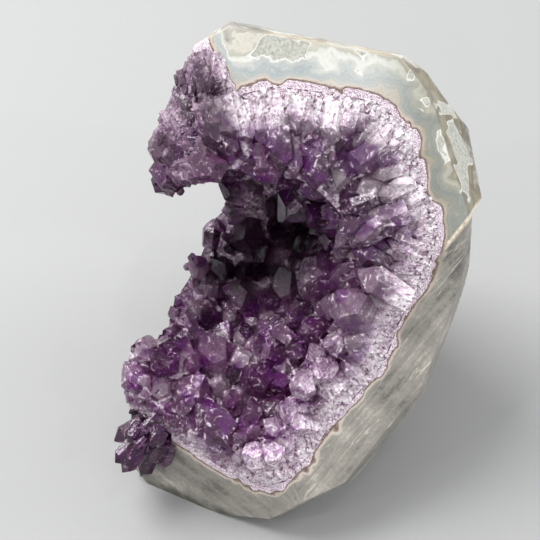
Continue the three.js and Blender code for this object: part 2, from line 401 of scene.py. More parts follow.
def slanted(out, sign):
    behind = np.maximum(0, -out[:, 2])
    shift = np.stack([CAVITY_SLANT[0] * behind, CAVITY_SLANT[1] * behind, 0 * behind], axis=1)
    return out + sign * shift


def wall_points(way, inset=0):
    return slanted(way * wall_reach(way, inset)[:, None], 1) + CAVITY_CENTRE


def rough_depth(points):
    out = slanted(points - CAVITY_CENTRE, -1)
    size = np.linalg.norm(out, axis=1)
    return wall_reach(out / size[:, None]) - size


def wall_slope(points, step=0.5):
    """The gradient of rough_depth, which points into the cave."""
    shifts = np.eye(3) * step
    return np.stack([(rough_depth(points + s) - rough_depth(points - s)) / (2 * step)
                     for s in shifts], axis=1)


def wall_depth(points):
    """Millimetres inside the cavity's wall, measured square to it. Negative in the rind."""
    slope = np.linalg.norm(wall_slope(points), axis=1)
    return rough_depth(points) / np.clip(slope, 0.6, 3)


# -------- joining and cutting solids

class Workbench:
    """Two scratch objects that join and cut closed meshes."""

    def __init__(self):
        self.first, self.second = (bpy.data.objects.new("bench", bpy.data.meshes.new("bench"))
                                   for _ in range(2))
        for thing in (self.first, self.second):
            show(thing)
        self.modifier = self.first.modifiers.new("bench", "BOOLEAN")
        self.modifier.solver = "MANIFOLD"
        self.modifier.object = self.second

    def combine(self, first, second, operation):
        self.first.data = first
        self.second.data = second
        self.modifier.operation = operation
        graph = bpy.context.evaluated_depsgraph_get()
        graph.update()
        return bpy.data.meshes.new_from_object(self.first.evaluated_get(graph))

    def joined(self, meshes):
        while len(meshes) > 1:
            pairs = [meshes[i:i + 2] for i in range(0, len(meshes), 2)]
            meshes = [self.combine(*pair, "UNION") if len(pair) == 2 else pair[0]
                      for pair in pairs]
        return meshes[0]

    def saw(self, mesh, plane):
        return self.combine(mesh, beyond_plane(plane), "DIFFERENCE")

    def saw_within(self, mesh, plane, limit):
        waste = self.combine(beyond_plane(plane), beyond_plane(limit), "INTERSECT")
        return self.combine(mesh, waste, "DIFFERENCE")

    def close(self):
        bpy.data.objects.remove(self.first)
        bpy.data.objects.remove(self.second)


def mesh_of(bm):
    mesh = bpy.data.meshes.new("part")
    bm.to_mesh(mesh)
    bm.free()
    return mesh


def block(matrix):
    bm = bmesh.new()
    bmesh.ops.create_cube(bm, size=STOCK, matrix=matrix)
    return mesh_of(bm)


def beyond_plane(plane):
    normal = Vector(direction(*plane[:2]))
    centre = normal * (plane[2] + STOCK / 2)
    turn = Vector((0, 0, 1)).rotation_difference(normal).to_matrix().to_4x4()
    return block(Matrix.Translation(centre) @ turn)


def ball():
    """An icosahedron with every edge cut in eight and its corners on the unit sphere."""
    gold = (1 + math.sqrt(5)) / 2
    bm = bmesh.new()
    for a, b in itertools.product((-1, 1), (-gold, gold)):
        for corner in ((a, b, 0), (0, a, b), (b, 0, a)):
            bm.verts.new(corner)
    bmesh.ops.convex_hull(bm, input=bm.verts)
    bmesh.ops.subdivide_edges(bm, edges=bm.edges, cuts=7, use_grid_fill=True)
    for vert in bm.verts:
        vert.co.normalize()
    return mesh_of(bm)


def cavity_mesh(inset):
    mesh = ball()
    mesh.vertices.foreach_set("co", wall_points(coordinates(mesh), inset).ravel())
    mesh.update()
    return mesh


def hollow_matrix(hollow):
    centre, radii, roll = hollow[:3]
    return (Matrix.Translation(centre) @ Matrix.Rotation(math.radians(roll), 4, "Z")
            @ Matrix.Diagonal((*radii, 1)))


def hollow_mesh(hollow):
    mesh = ball()
    mesh.transform(hollow_matrix(hollow))
    return mesh


def ground_body(bench):
    body = block(Matrix())
    for turn, distance, depth, before, behind in OUTLINE:
        for lean in (before, behind):
            angle = math.radians(lean)
            out = distance * math.cos(angle) + depth * math.sin(angle)
            body = bench.saw(body, (turn, lean, out))
    for i in range(BACK_FACETS):
        turn = 360 * (i + 0.3) / BACK_FACETS
        uneven = BACK_UNEVEN * math.cos(math.radians(turn * 3 + 40))
        body = bench.saw(body, (turn, BACK_LEAN + uneven, BACK_REACH + uneven))
    for plane in ((0, -90, BACK_END), FOOT_CUT, SHOULDER_CUT):
        body = bench.saw(body, plane)
    for plane in (LEDGE_FACE, LEDGE_SIDE):
        body = bench.saw_within(body, plane, LEDGE_START)
    return bench.saw(body, (-90, -MOUTH_RISE, BASE_DROP))


def quartz_layer(bench):
    """The quartz that the crystals stand on, with its hollow and its sawn faces."""
    layer = bench.combine(cavity_mesh(JOINT_GAP), ground_body(bench), "INTERSECT")
    layer = bench.saw(bench.saw(layer, FRONT_CUT), SIDE_CUT)
    layer = bench.saw_within(layer, ARCH_END_CUT, MIDDLE)
    for hollow in HOLLOWS:
        layer = bench.combine(layer, hollow_mesh(hollow), "DIFFERENCE")
    return layer


# -------- one crystal

TRIPLES = np.array(list(itertools.combinations(range(FACES), 3)))


def crystal_planes(dice, radius, length):
    normals, distances = [], []
    flat = FLAT_SHARE * radius
    for k in range(6):
        normals.append(direction(60 * k, -PRISM_TAPER))
        distances.append(flat * dice.span(*PRISM_UNEVEN))
    for k in range(6):
        lag = dice.span(*(LARGE_FACE_LAG if k % 2 == 0 else SMALL_FACE_LAG))
        normals.append(direction(60 * k, POINT_LEAN))
        distances.append(radius * lag)
    normals.append((0, 0, -1))
    distances.append(length)
    return np.array(normals), np.array(distances)


def corners_of(normals, distances):
    """The corners of the solid that lies behind all the planes."""
    a, b, c = (normals[TRIPLES[:, i]] for i in range(3))
    p, q, r = (distances[TRIPLES[:, i]][:, None] for i in range(3))
    bc, ca, ab = np.cross(b, c), np.cross(c, a), np.cross(a, b)
    volume = np.sum(a * bc, axis=1)
    real = np.abs(volume) > NEARLY_NONE
    points = (p * bc + q * ca + r * ab)[real] / volume[real][:, None]
    inside = np.max(points @ normals.T - distances, axis=1) < NEARLY_NONE
    return np.unique(np.round(points[inside], 4), axis=0)


def hull_mesh(points):
    bm = bmesh.new()
    corners = [bm.verts.new(point) for point in points]
    made = bmesh.ops.convex_hull(bm, input=corners)
    spare = {item for item in made["geom_interior"] + made["geom_unused"]
             if isinstance(item, bmesh.types.BMVert)}
    bmesh.ops.delete(bm, geom=list(spare), context="VERTS")
    return mesh_of(bm)


class Druse:
    """All the crystals of the lining, each numbered from 1. Number 0 is the quartz behind them."""

    def __init__(self, dice):
        self.dice = dice
        self.meshes = []
        self.tips = [(0, 0, 0)]
        self.aims = [(0, 0, 1)]
        self.radii = [1]
        self.tones = [0.5]
        self.milks = [0.3]

    def grow(self, tip, aim, radius, length, milk=0.0, tone=None):
        aim = unit(np.array(aim, float))
        mesh = hull_mesh(corners_of(*crystal_planes(self.dice, radius, length)))
        turn = Matrix.Rotation(self.dice.span(0, 2 * math.pi), 4, "Z")
        lean = Vector((0, 0, 1)).rotation_difference(Vector(aim)).to_matrix().to_4x4()
        mesh.transform(Matrix.Translation(tip) @ lean @ turn)
        number = mesh.attributes.new("number", "INT", "FACE")
        number.data.foreach_set("value", [len(self.tips)] * len(mesh.polygons))
        self.meshes.append(mesh)
        self.tips.append(tuple(tip))
        self.aims.append(tuple(aim))
        self.radii.append(radius)
        self.tones.append(self.dice() if tone is None else tone)
        self.milks.append(milk)


# -------- where the crystals stand

def spiral_direction(i, count):
    height = 1 - 2 * (i + 0.5) / count
    flat = math.sqrt(1 - height * height)
    angle = i * math.pi * (3 - math.sqrt(5))
    return Vector((flat * math.cos(angle), flat * math.sin(angle), height))


def in_front(point):
    arch = beyond(point, ARCH_END_CUT) if beyond(point, MIDDLE) > 0 else -math.inf
    return max(beyond(point, FRONT_CUT), arch)


def has_room(wall, foot, tip, own, inverses):
    """True if the foot is well inside the lining and the tip is never far out of an open face."""
    others = (inverse for inverse in inverses if inverse is not own)
    if any((inverse @ Vector(wall)).length < OTHER_HOLLOW for inverse in others):
        return False
    out = slanted((foot - CAVITY_CENTRE)[None], -1)
    reach = np.linalg.norm(wall_points(out / np.linalg.norm(out)) - CAVITY_CENTRE)
    if np.linalg.norm(foot - CAVITY_CENTRE) > reach - ROOT_COVER:
        return False
    if any(beyond(foot, face) > -ROOT_COVER for face in (SHOULDER_CUT, FOOT_CUT, SIDE_CUT)):
        return False
    if in_front(foot) > -ROOT_COVER or in_front(tip) > MOST_PROUD:
        return False
    return beyond(tip, SIDE_CUT) < MOST_PROUD / 2


def wall_crystals(hollow, inverses, own, dice, count, radii, root, stretch):
    """Tip, aim, radius and length of each crystal that stands on one hollow's wall."""
    place = hollow_matrix(hollow)
    slope = place.inverted().transposed().to_3x3()
    tilt = hollow[4]
    for i in range(count):
        # The sixth number is the twist of the same crystal in the CAD solid.
        a, b, c, d, e, _ = (dice() for _ in range(6))
        way = spiral_direction(i, count)
        wall = np.array(place @ way)
        lean = np.array([a - 0.5, b - 0.5, c - 0.5]) * 2 * tilt
        aim = unit(lean - np.array((slope @ way).normalized()))
        radius = radii[0] + (radii[1] - radii[0]) * d * d
        length = root + radius * (stretch[0] + stretch[1] * e)
        foot = wall - aim * root
        tip = foot + aim * length
        if has_room(wall, foot, tip, own, inverses):
            shorter = UNDER_ARCH["shorter"] * length * smoothstep(*UNDER_ARCH["y"], tip[1])
            shorter *= smoothstep(*UNDER_ARCH["down"], aim[1])
            yield tip - aim * shorter, aim, radius, length


def grow_on_walls(druse):
    inverses = [hollow_matrix(hollow).inverted() for hollow in HOLLOWS]
    large, small = Dice(CRYSTAL_SEED), Dice(CRYSTAL_SEED + 1)
    for hollow, own in zip(HOLLOWS, inverses):
        for tip, aim, radius, length in wall_crystals(
                hollow, inverses, own, large, hollow[3], CRYSTAL_RADIUS, CRYSTAL_ROOT,
                CRYSTAL_STRETCH):
            druse.grow(tip, aim, radius, length)
            grow_beside(druse, tip, aim, radius, length)
    for hollow, own in zip(HOLLOWS, inverses):
        for tip, aim, radius, length in wall_crystals(
                hollow, inverses, own, small, int(hollow[3] * SMALL_PER_LARGE), SMALL_RADIUS,
                SMALL_ROOT, SMALL_STRETCH):
            druse.grow(tip, aim, radius, length)


def grow_beside(druse, tip, aim, radius, length, milk=0.0, most=4.5, right_end=math.inf):
    """Smaller crystals that lean on the sides of a large one."""
    dice = druse.dice
    side = unit(np.cross(aim, (0.3, 0.5, 0.81)))
    other = np.cross(aim, side)
    for _ in range(int(dice.span(1, most))):
        turn = dice.span(0, 2 * math.pi)
        across = math.cos(turn) * side + math.sin(turn) * other
        size = radius * dice.span(*BESIDE_SIZE)
        down = aim * length * dice.span(*BESIDE_DOWN)
        top = tip - down + across * radius * dice.span(*BESIDE_OUT)
        if in_front(top) > BESIDE_PROUD or top[0] > right_end:
            continue
        if beyond(top, SIDE_CUT) > BESIDE_PROUD / 2:
            continue
        way = aim + across * dice.span(*BESIDE_LEAN) + BESIDE_UNEVEN * dice.vector()
        druse.grow(top, way, size, size * dice.span(*BESIDE_STRETCH), milk)


def grow_on_corner(druse):
    """The lump of crystals left on the lower left corner."""
    for foot, aim, radius, length in CORNER_CRYSTALS:
        way = unit(np.array(aim, float))
        tip = np.array(foot) + way * length
        druse.grow(tip, way, CORNER_THINNER * radius, length, CORNER_MILK, CORNER_TONE)
        grow_beside(druse, tip, way, CORNER_BESIDE * radius, length, CORNER_MILK,
                    MOST_ON_CORNER, CORNER_RIGHT_END)


def grow_proud_row(druse):
    """The row of pale crystals that stands proud of the sawn face at the lower right."""
    dice = druse.dice
    start, end, count = PROUD_ROW
    for i in range(count):
        share = (i + dice.span(*PROUD_SHIFT)) / (count - 1)
        middle = np.array(start) * (1 - share) + np.array(end) * share
        foot = middle + PROUD_SCATTER * dice.vector()
        aim = unit(PROUD_AIM + PROUD_AIM_UNEVEN * dice.vector())
        radius = dice.span(*PROUD_RADIUS)
        length = radius * dice.span(*PROUD_STRETCH)
        tip = foot + aim * length * dice.span(*PROUD_OUT)
        druse.grow(tip, aim, radius, length, PROUD_MILK, dice.span(*PROUD_TONES))
        grow_beside(druse, tip, aim, radius, length, BESIDE_PROUD_MILK)


def sawn_triangles(layer):
    """Corners and normal of each triangle of the lining that lies on a flat sawn face."""
    layer.calc_loop_triangles()
    points = coordinates(layer)
    planes = (FRONT_CUT, SIDE_CUT, ARCH_END_CUT, FOOT_CUT, SHOULDER_CUT, LEDGE_FACE)
    for triangle in layer.loop_triangles:
        corners = points[list(triangle.vertices)]
        for plane in planes:
            normal = direction(*plane[:2])
            if np.max(np.abs(corners @ normal - plane[2])) < ON_FACE:
                yield corners, normal


def comb_radius(depth):
    return float(np.clip(COMB_START + COMB_WIDENING * depth, *COMB_RADIUS))


def arch_end_share(point, normal):
    """1 on the upper part of the arch's sawn end, 0 elsewhere."""
    same_plane = np.dot(normal, direction(*ARCH_END_CUT[:2])) > 0.999
    return float(same_plane * smoothstep(*ARCH_END_RISE, point[1]))


def grow_on_sawn_faces(druse, layer):
    """Quartz grains beside the agate that widen into columns towards the hollow."""
    dice = druse.dice
    taken = np.empty((0, 4))  # the place and radius of each column so far
    for corners, normal in sawn_triangles(layer):
        a, b, c = corners
        area = 0.5 * np.linalg.norm(np.cross(b - a, c - a))
        wanted = area * COMB_PER_MM2
        for _ in range(int(wanted) + (dice() < wanted % 1)):
            u, v = dice(), dice()
            if u + v > 1:
                u, v = 1 - u, 1 - v
            point = a + u * (b - a) + v * (c - a)
            depth = float(wall_depth(point[None])[0])
            radius = comb_radius(depth) * dice.span(*COMB_UNEVEN)
            radius *= 1 - ARCH_END_THINNER * arch_end_share(point, normal)
            apart = np.linalg.norm(taken[:, :3] - point, axis=1)
            crowded = np.any(apart < COMB_SPACING * (taken[:, 3] + radius))
            if crowded or depth < COMB_LEAST_DEPTH:
                continue
            taken = np.vstack([taken, (*point, radius)])
            grow_comb(druse, point, normal, depth, radius)


def comb_change(name, depth):
    most, start, end = COMB_CHANGES[name]
    return most * smoothstep(start, end, depth)


def grow_comb(druse, point, normal, depth, radius):
    """One column of the comb. It lies along the sawn face and points towards the cave."""
    dice = druse.dice
    inward = wall_slope(point[None])[0]
    inward = unit(inward - normal * np.dot(inward, normal))
    loose = COMB_LOOSE - comb_change("steadier", depth)
    on_arch = arch_end_share(point, normal)
    lift = dice.span(*COMB_LIFT) + LOW_COMB_LIFT * smoothstep(*LOW_COMB, point[1])
    lift *= 1 - ARCH_END_FLATTER * on_arch
    aim = unit(inward + normal * lift + loose * dice.vector())
    length = radius * (dice.span(*COMB_STRETCH) + comb_change("longer", depth))
    reach = dice.span(*COMB_REACH) - comb_change("held back", depth)
    sink = comb_change("sunk", depth) + ARCH_END_SUNK * on_arch
    proud = dice.span(*COMB_PROUD) - sink
    tip = point + normal * radius * proud + aim * length * reach
    druse.grow(tip, aim, radius, length)


# -------- the lining's finished mesh

def island_numbers(bm):
    """The number of the island that each vertex belongs to, and each island's size."""
    numbers = [-1] * len(bm.verts)
    sizes = []
    for start in bm.verts:
        if numbers[start.index] >= 0:
            continue
        numbers[start.index] = len(sizes)
        queue = [start]
        size = 0
        while queue:
            vert = queue.pop()
            size += 1
            for edge in vert.link_edges:
                other = edge.other_vert(vert)
                if numbers[other.index] < 0:
                    numbers[other.index] = len(sizes)
                    queue.append(other)
        sizes.append(size)
    return numbers, sizes


def keep_largest_island(mesh):
    """Drops chips that ended up loose from the lining."""
    bm = bmesh.new()
    bm.from_mesh(mesh)
    bm.verts.ensure_lookup_table()
    numbers, sizes = island_numbers(bm)
    keep = sizes.index(max(sizes))
    loose = [vert for vert in bm.verts if numbers[vert.index] != keep]
    bmesh.ops.delete(bm, geom=loose, context="VERTS")
    bm.to_mesh(mesh)
    bm.free()


def store(mesh, name, values, domain="POINT"):
    layer = mesh.attributes.new(name, "FLOAT", domain)
    layer.data.foreach_set("value", np.ascontiguousarray(values, dtype=np.float32))


def store_vectors(mesh, name, columns, stretch, domain="POINT"):
    vectors = np.stack(columns, axis=1) * stretch
    layer = mesh.attributes.new(name, "FLOAT_VECTOR", domain)
    layer.data.foreach_set("vector", vectors.astype(np.float32).ravel())


def corner_numbers(mesh):
    """The number of the crystal that each face corner belongs to."""
    faces = len(mesh.polygons)
    number = np.zeros(faces, np.int32)
    mesh.attributes["number"].data.foreach_get("value", number)
    counts = np.empty(faces, np.int32)
    mesh.polygons.foreach_get("loop_total", counts)
    return np.repeat(number, counts)


def corner_points(mesh):
    verts = np.empty(len(mesh.loops), np.int32)
    mesh.loops.foreach_get("vertex_index", verts)
    return coordinates(mesh)[verts]


def describe_crystals(mesh, druse, number, points):
    """Writes what each corner's own crystal is like, and how far down it the corner lies."""
    tips = np.array(druse.tips)[number]
    aims = np.array(druse.aims)[number]
    from_tip = np.sum((tips - points) * aims, axis=1) / np.array(druse.radii, float)[number]
    store(mesh, "from_tip", np.where(number == 0, 3.0, from_tip), "CORNER")
    store(mesh, "tone", np.array(druse.tones)[number], "CORNER")
    store(mesh, "milk", np.array(druse.milks)[number], "CORNER")


def describe_cave(mesh, on_corner, points):
    """Writes how deep each corner lies in the quartz and in the cave, and where the material
    paints shade deep in the cave and darkens the far wall, the arch and the corner.
    """
    x, y, z = points.T
    far_wall_shade = (smoothstep(*FAR_WALL_SHADE["x"], x) * smoothstep(*FAR_WALL_SHADE["rise"], y)
                * smoothstep(*FAR_WALL_SHADE["fall"], y))
    foot_side = smoothstep(*FOOT_SIDE["x"], x) * smoothstep(*FOOT_SIDE["y"], y)
    depth = wall_depth(points)
    deeper = depth + FAR_WALL_SHADE["deeper"] * far_wall_shade + FOOT_SIDE["deeper"] * foot_side
    store(mesh, "depth", np.where(on_corner, CORNER_DEPTH, deeper), "CORNER")
    off_axis = np.hypot(x - VOID_SHADE_AXIS[0], y - VOID_SHADE_AXIS[1])
    from_back = SHOULDER_CUT[2] - points @ direction(*SHOULDER_CUT[:2])
    # painted shade deep in the cave, strongest on its axis and towards the back
    painted_void_shade = smoothstep(*VOID_SHADE_ZONE["z"], z) * smoothstep(*VOID_SHADE_ZONE["off_axis"], off_axis)
    painted_void_shade *= smoothstep(*VOID_SHADE_ZONE["from_back"], from_back) * smoothstep(*VOID_SHADE_ZONE["x"], x)
    store(mesh, "painted_void_shade", painted_void_shade, "CORNER")
    on_arch = smoothstep(*ARCH_SHADE["x"], x) * smoothstep(*ARCH_SHADE["y"], y)
    # painted shade on the far wall; darker purple on the arch and on the corner's crystals
    store(mesh, "shade_and_dark_tone", np.where(on_corner, 1, np.maximum(on_arch, far_wall_shade)), "CORNER")
    turn = np.arctan2(y - CAVITY_CENTRE[1], x - CAVITY_CENTRE[0])
    store_vectors(mesh, "fibre", (turn, depth, z), FIBRE_STRETCH, "CORNER")


def joined_crystals():
    """The quartz layer and every crystal on it as one mesh, and the list of the crystals."""
    bench = Workbench()
    layer = quartz_layer(bench)
    druse = Druse(Dice(CRYSTAL_SEED + 2))
    grow_on_walls(druse)
    grow_on_corner(druse)
    grow_on_sawn_faces(druse, layer)
    grow_proud_row(druse)
    behind = layer.attributes.new("number", "INT", "FACE")
    behind.data.foreach_set("value", [0] * len(layer.polygons))
    mesh = bench.joined([layer] + druse.meshes)
    bench.close()
    keep_largest_island(mesh)
    return mesh, druse


def crystal_lining(material):
    mesh, druse = joined_crystals()
    number = corner_numbers(mesh)
    points = corner_points(mesh)
    describe_crystals(mesh, druse, number, points)
    describe_cave(mesh, np.array(druse.milks)[number] < 0, points)
    mesh.transform(to_metres)
    mesh.shade_flat()
    mesh.materials.clear()
    mesh.materials.append(material)
    lining = bpy.data.objects.new("crystal_lining", mesh)
    show(lining)
    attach(lining, "root")
    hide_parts("amethyst_crystals")


# -------- the rind's finished mesh

def welded(mesh):
    """The same mesh with the corners that faces share made one."""
    bm = bmesh.new()
    bm.from_mesh(mesh)
    bmesh.ops.remove_doubles(bm, verts=bm.verts, dist=1e-6)
    return mesh_of(bm)


def evenly_remeshed(shell):
    remesh = shell.modifiers.new("even", "REMESH")
    remesh.mode = "SHARP"
    remesh.octree_depth = REMESH_DEPTH
    remesh.scale = REMESH_SHARE
    remesh.use_remove_disconnected = True
    graph = bpy.context.evaluated_depsgraph_get()
    graph.update()
    fine = bpy.data.meshes.new_from_object(shell.evaluated_get(graph))
    shell.modifiers.clear()
    return fine


def ground_rind(material):
    shell = bpy.data.objects.new("ground_rind", welded(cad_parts["rind"].data))
    show(shell)
    shell.data = evenly_remeshed(shell)
    weather(shell.data)
    shell.data.shade_smooth()
    shell.data.set_sharp_from_angle(angle=math.radians(CREASE_ANGLE))
    shell.data.materials.clear()
    shell.data.materials.append(material)
    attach(shell, "root")
    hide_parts("rind")


def vertex_normals(mesh):
    normals = np.empty(len(mesh.vertices) * 3)
    mesh.vertex_normals.foreach_get("vector", normals)
    return normals.reshape(-1, 3)


def weather(mesh):
    """Roughens the outer facets a little and writes what the material needs to know."""
    world = coordinates(mesh)
    points = moved(world, to_mouth)
    normals = vertex_normals(mesh)
    depth = -wall_depth(points)
    out_of_cave = np.array(to_metres.to_3x3().normalized() @ Vector((0, 0, 1)))
    faces_out = normals @ out_of_cave
    outer = smoothstep(*TURNED_AWAY, faces_out) * smoothstep(*CRUST_FROM, depth)
    outer *= smoothstep(*ABOVE_BASE, world[:, 2] * 1000)
    rough = np.array([
        LUMP_HEIGHT * noise.fractal(Vector(p) * LUMP_SCALE, 1.0, 2.0, 5)
        + GRAIN_HEIGHT * noise.noise(Vector(p) * GRAIN_SCALE) for p in points])
    height = rough * (ROUGH_EVERYWHERE + ROUGH_OUTSIDE * outer) * smoothstep(*ROUGH_FROM, depth)
    world += normals * (height * 0.001)[:, None]
    mesh.vertices.foreach_set("co", world.ravel())
    mesh.update()
    store(mesh, "band", depth)
    store(mesh, "outer", outer)
    store(mesh, "chamfer", smoothstep(*CHAMFER, faces_out))
    describe_faces(mesh, points)


def describe_faces(mesh, points):
    """Writes where each point lies on the sawn front, on the lower slab and on the foot face."""
    slab = points @ direction(*LEDGE_START[:2]) - LEDGE_START[2]
    along = points @ direction(LEDGE_START[0] - 90, 0)
    on_foot = smoothstep(*FOOT_FACE, points @ direction(*FOOT_CUT[:2]) - FOOT_CUT[2])
    across = slab * (1 - (1 - FOOT_GRAIN_SHARE) * on_foot)
    store_vectors(mesh, "grain", (across, along, points[:, 2]), GRAIN_STRETCH)
    store(mesh, "slab", slab)
    store(mesh, "front", points @ direction(*FRONT_CUT[:2]) - FRONT_CUT[2])
    store(mesh, "low", smoothstep(*LOW_PART, points[:, 1]))
    # the right side, for the painted shade on the agate
    store(mesh, "right", smoothstep(*RIGHT_SHADE_PART, points[:, 0]))


# -------- materials

def linear(rgb):
    """An sRGB colour from 0 to 255, as linear light with full alpha."""
    shares = (c / 255 for c in rgb)
    light = (c / 12.92 if c <= 0.04045 else ((c + 0.055) / 1.055) ** 2.4 for c in shares)
    return (*light, 1)


class Nodes:
    """Short names for the shader nodes that the materials use."""

    def __init__(self, name):
        self.material = bpy.data.materials.new(name)
        self.material.use_nodes = True
        self.tree = self.material.node_tree
        self.shader = self.tree.nodes["Principled BSDF"]
        self.output = self.tree.nodes["Material Output"]

    def add(self, kind, inputs=(), **settings):
        node = self.tree.nodes.new(kind)
        for key, value in settings.items():
            setattr(node, key, value)
        for key, value in dict(inputs).items():
            self.put(node.inputs[key], value)
        return node

    def put(self, socket, value):
        if isinstance(value, bpy.types.NodeSocket):
            self.tree.links.new(value, socket)
        else:
            socket.default_value = value

    def attribute(self, name, output="Fac"):
        return self.add("ShaderNodeAttribute", attribute_name=name).outputs[output]

    def place(self):
        """The surface's place in millimetres, in the frame."""
        where = self.add("ShaderNodeTexCoord").outputs["Object"]
        return self.vector("MULTIPLY", where, (1000, 1000, 1000))

    def noise(self, place, scale, detail=3, rough=0.55, warp=0):
        return self.add("ShaderNodeTexNoise", {
            "Vector": place, "Scale": scale, "Detail": detail, "Roughness": rough,
            "Distortion": warp}).outputs["Fac"]

    def cells(self, place, scale):
        """A colour of its own for each cell of broken quartz."""
        node = self.add("ShaderNodeTexVoronoi", {"Vector": place, "Scale": scale})
        return node.outputs["Color"]

    def math(self, operation, first, second=0.0):
        return self.add("ShaderNodeMath", {0: first, 1: second}, operation=operation).outputs[0]

    def plus(self, first, second):
        return self.math("ADD", first, second)

    def times(self, first, second):
        return self.math("MULTIPLY", first, second)

    def most(self, first, second):
        return self.math("MAXIMUM", first, second)

    def swing(self, value, middle, reach):
        """A value that swings to both sides of zero."""
        return self.times(self.math("SUBTRACT", value, middle), reach)

    def away(self, value, middle=0.0):
        """How far a value is from the middle, on either side."""
        return self.math("ABSOLUTE", self.math("SUBTRACT", value, middle))

    def span(self, value, low, high, to_low=0.0, to_high=1.0):
        """A smooth step between two values."""
        return self.add("ShaderNodeMapRange", {
            "Value": value, "From Min": low, "From Max": high, "To Min": to_low,
            "To Max": to_high}, interpolation_type="SMOOTHSTEP").outputs["Result"]

    def mix(self, share, first, second, blend="MIX"):
        node = self.add("ShaderNodeMix", data_type="RGBA", blend_type=blend)
        self.put(node.inputs["Factor"], share)
        self.put(node.inputs[6], first)
        self.put(node.inputs[7], second)
        return node.outputs[2]

    def tint(self, share, first, rgb):
        return self.mix(share, first, linear(rgb))

    def dull(self, share, first, rgb):
        return self.mix(share, first, linear(rgb), "MULTIPLY")

    def ramp(self, value, stops):
        node = self.add("ShaderNodeValToRGB", {"Fac": value})
        elements = node.color_ramp.elements
        while len(elements) < len(stops):
            elements.new(0.5)
        for element, (position, rgb) in zip(elements, stops):
            element.position = position
            element.color = linear(rgb)
        return node.outputs["Color"]

    def vector(self, operation, first, second=(0, 0, 0)):
        inputs = {0: first, 1: second}
        return self.add("ShaderNodeVectorMath", inputs, operation=operation).outputs[0]

    def scaled(self, vector, share):
        node = self.add("ShaderNodeVectorMath", {0: vector, "Scale": share}, operation="SCALE")
        return node.outputs[0]

    def scattered(self, normal, cells, share):
        """Turns the normal of every cell its own way, as broken quartz does."""
        turn = self.scaled(self.vector("SUBTRACT", cells, (0.5, 0.5, 0.5)), share)
        return self.vector("NORMALIZE", self.vector("ADD", normal, turn))

    def bump(self, height, strength, distance, normal=None):
        node = self.add("ShaderNodeBump", {
            "Height": height, "Strength": strength, "Distance": distance})
        if normal is not None:
            self.put(node.inputs["Normal"], normal)
        return node.outputs["Normal"]

    def finish(self, **inputs):
        for key, value in inputs.items():
            self.put(self.shader.inputs[key.replace("_", " ")], value)
        return self.material


# -------- amethyst

def amethyst_material():
    """Quartz that is milky beside the agate, and purple and clear towards the cave."""
    n = Nodes("amethyst")
    place = n.place()
    veil = n.noise(place, *VEILS)
    fine = n.noise(place, *FINE_QUARTZ)
    flake = n.cells(place, FLAKE_SCALE)
    painted_void_shade = n.attribute("painted_void_shade")
    warped = n.plus(n.attribute("depth"), n.swing(n.noise(place, *DEPTH_WARP), 0.48, 20))
    pale = paleness(n, warped, veil)
    # the white veils fade out in the painted shade deep in the cave
    cloud = n.times(n.span(veil, 0.55, 0.66, 0, 0.85), n.span(painted_void_shade, 0, 0.7, 1.0, 0.0))
    body = n.mix(pale, crystal_purple(n, place, veil, painted_void_shade), milky_quartz(n, flake))
    clear = n.times(n.span(pale, 0.1, 0.9, 0.78, 0.3), n.span(cloud, 0.1, 0.5, 1, 0.5))
    rough = n.plus(n.span(fine, 0.35, 0.75, 0.03, 0.16), n.times(pale, 0.1))
    n.finish(Base_Color=clouded(n, body, veil, cloud), Roughness=rough, IOR=QUARTZ_IOR,
             Transmission_Weight=clear, Normal=quartz_normal(n, place, veil, fine, flake, warped))
    absorb = n.add("ShaderNodeVolumeAbsorption", {
        "Color": ABSORPTION, "Density": ABSORPTION_DENSITY})
    n.tree.links.new(absorb.outputs[0], n.output.inputs["Volume"])
    return n.material


def paleness(n, warped, veil):
    """From 0 to 1: milky beside the agate, at a crystal's root and in the proud row."""
    rooted = n.times(n.span(n.attribute("from_tip"), 1.0, 2.6, 0, 0.55), n.span(veil, 0.35, 0.6))
    pale = n.plus(n.most(n.span(warped, *MILKY_DEPTH), rooted), n.attribute("milk"))
    return n.math("MINIMUM", n.most(pale, 0.0), 1.0)


def crystal_purple(n, place, veil, painted_void_shade):
    """Each crystal's own purple, with vivid patches, and painted shade that turns it black deep in
    the cave.
    """
    shade = n.plus(n.times(n.attribute("tone"), 0.4), n.times(veil, 0.6))
    vivid = n.span(n.noise(place, *VIVID_PATCHES), 0.48, 0.64, 0, 0.8)
    purple = n.tint(vivid, n.ramp(shade, PURPLES), VIVID_PURPLE)
    # painted shade: near black deep in the cave
    return n.tint(n.times(painted_void_shade, 0.95), purple, VOID_SHADE_BLACK)


def milky_quartz(n, flake):
    """White quartz with greyer fibres that run from the agate towards the cave."""
    strand = n.noise(n.attribute("fibre", "Vector"), *FIBRES)
    glint = n.plus(n.times(n.add("ShaderNodeSeparateColor", {"Color": flake}).outputs[0], 0.25),
                   n.times(strand, 0.8))
    return n.ramp(glint, MILKY_QUARTZ)


def clouded(n, body, veil, cloud):
    """Adds white veils, the lilac of the proud row, painted shade on the far wall, and darker
    purple on the arch and on the corner's crystals.
    """
    body = n.tint(cloud, body, CLOUD_WHITE)
    lilac = n.times(n.span(n.attribute("milk"), 0.1, 0.4), n.span(veil, 0.56, 0.44, 0, 0.8))
    body = n.dull(lilac, body, LILAC)
    # painted shade on the far wall, darker purple on the arch and the corner
    return n.dull(n.times(n.attribute("shade_and_dark_tone"), 0.75), body, SHADED_PURPLE)


